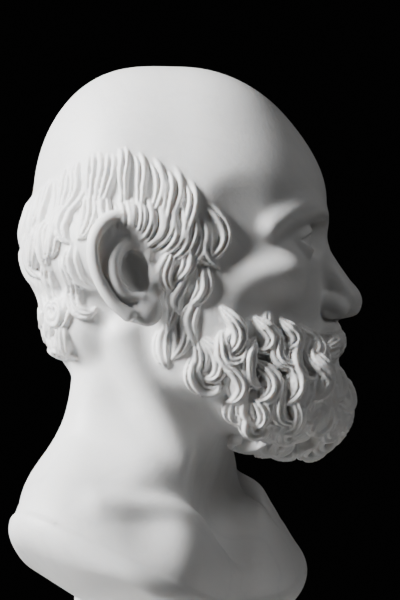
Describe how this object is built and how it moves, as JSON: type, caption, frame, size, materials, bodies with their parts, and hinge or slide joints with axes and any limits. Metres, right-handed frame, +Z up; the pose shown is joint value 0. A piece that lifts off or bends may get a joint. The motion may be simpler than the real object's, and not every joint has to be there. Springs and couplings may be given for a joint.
{
  "type": "marble bust",
  "caption": "White marble statuette bust of a bald, bearded old man with turned head, dowelled onto a turned socle and square plinth; turns on its dowel and lifts off.",
  "frame": {"origin": "on the dowel axis at the underside of the felt pad", "axes": "+Z up the dowel axis; -Y is the way the chest and the plinth's front face; +X is the bust's own left, towards which the head is turned"},
  "size_m": [0.136, 0.1141, 0.255],
  "materials": {
    "bust_marble": "honed white marble with a soft sheen and faint grey veining",
    "socle_marble": "polished white marble with light grey veining",
    "steel": "turned stainless steel",
    "brass": "drawn brass tube",
    "resin": "cured marble-setting resin",
    "nylon": "natural nylon sheet",
    "felt": "dark green wool felt"
  },
  "bodies": {
    "base": {"felt_pad": "felt", "plinth": "socle_marble", "socle": "socle_marble", "dowel_sleeve": "brass", "tie_stud": "steel", "stud_bedding": "resin", "plinth_washer": "steel", "spring_washer": "steel", "plinth_nut": "steel"},
    "turning_seat": {"seat_washer": "nylon"},
    "bust": {"bust": "bust_marble", "dowel_pin": "steel", "dowel_bedding": "resin"}
  },
  "joints": [
    {"name": "bust_turn", "type": "hinge", "parent": "base", "child": "turning_seat", "pos_m": [0, 0, 0.061], "axis": [0, 0, 1], "continuous": true},
    {"name": "bust_lift", "type": "slide", "parent": "turning_seat", "child": "bust", "axis": [0, 0, 1], "range_m": [0, 0.04]}
  ]
}
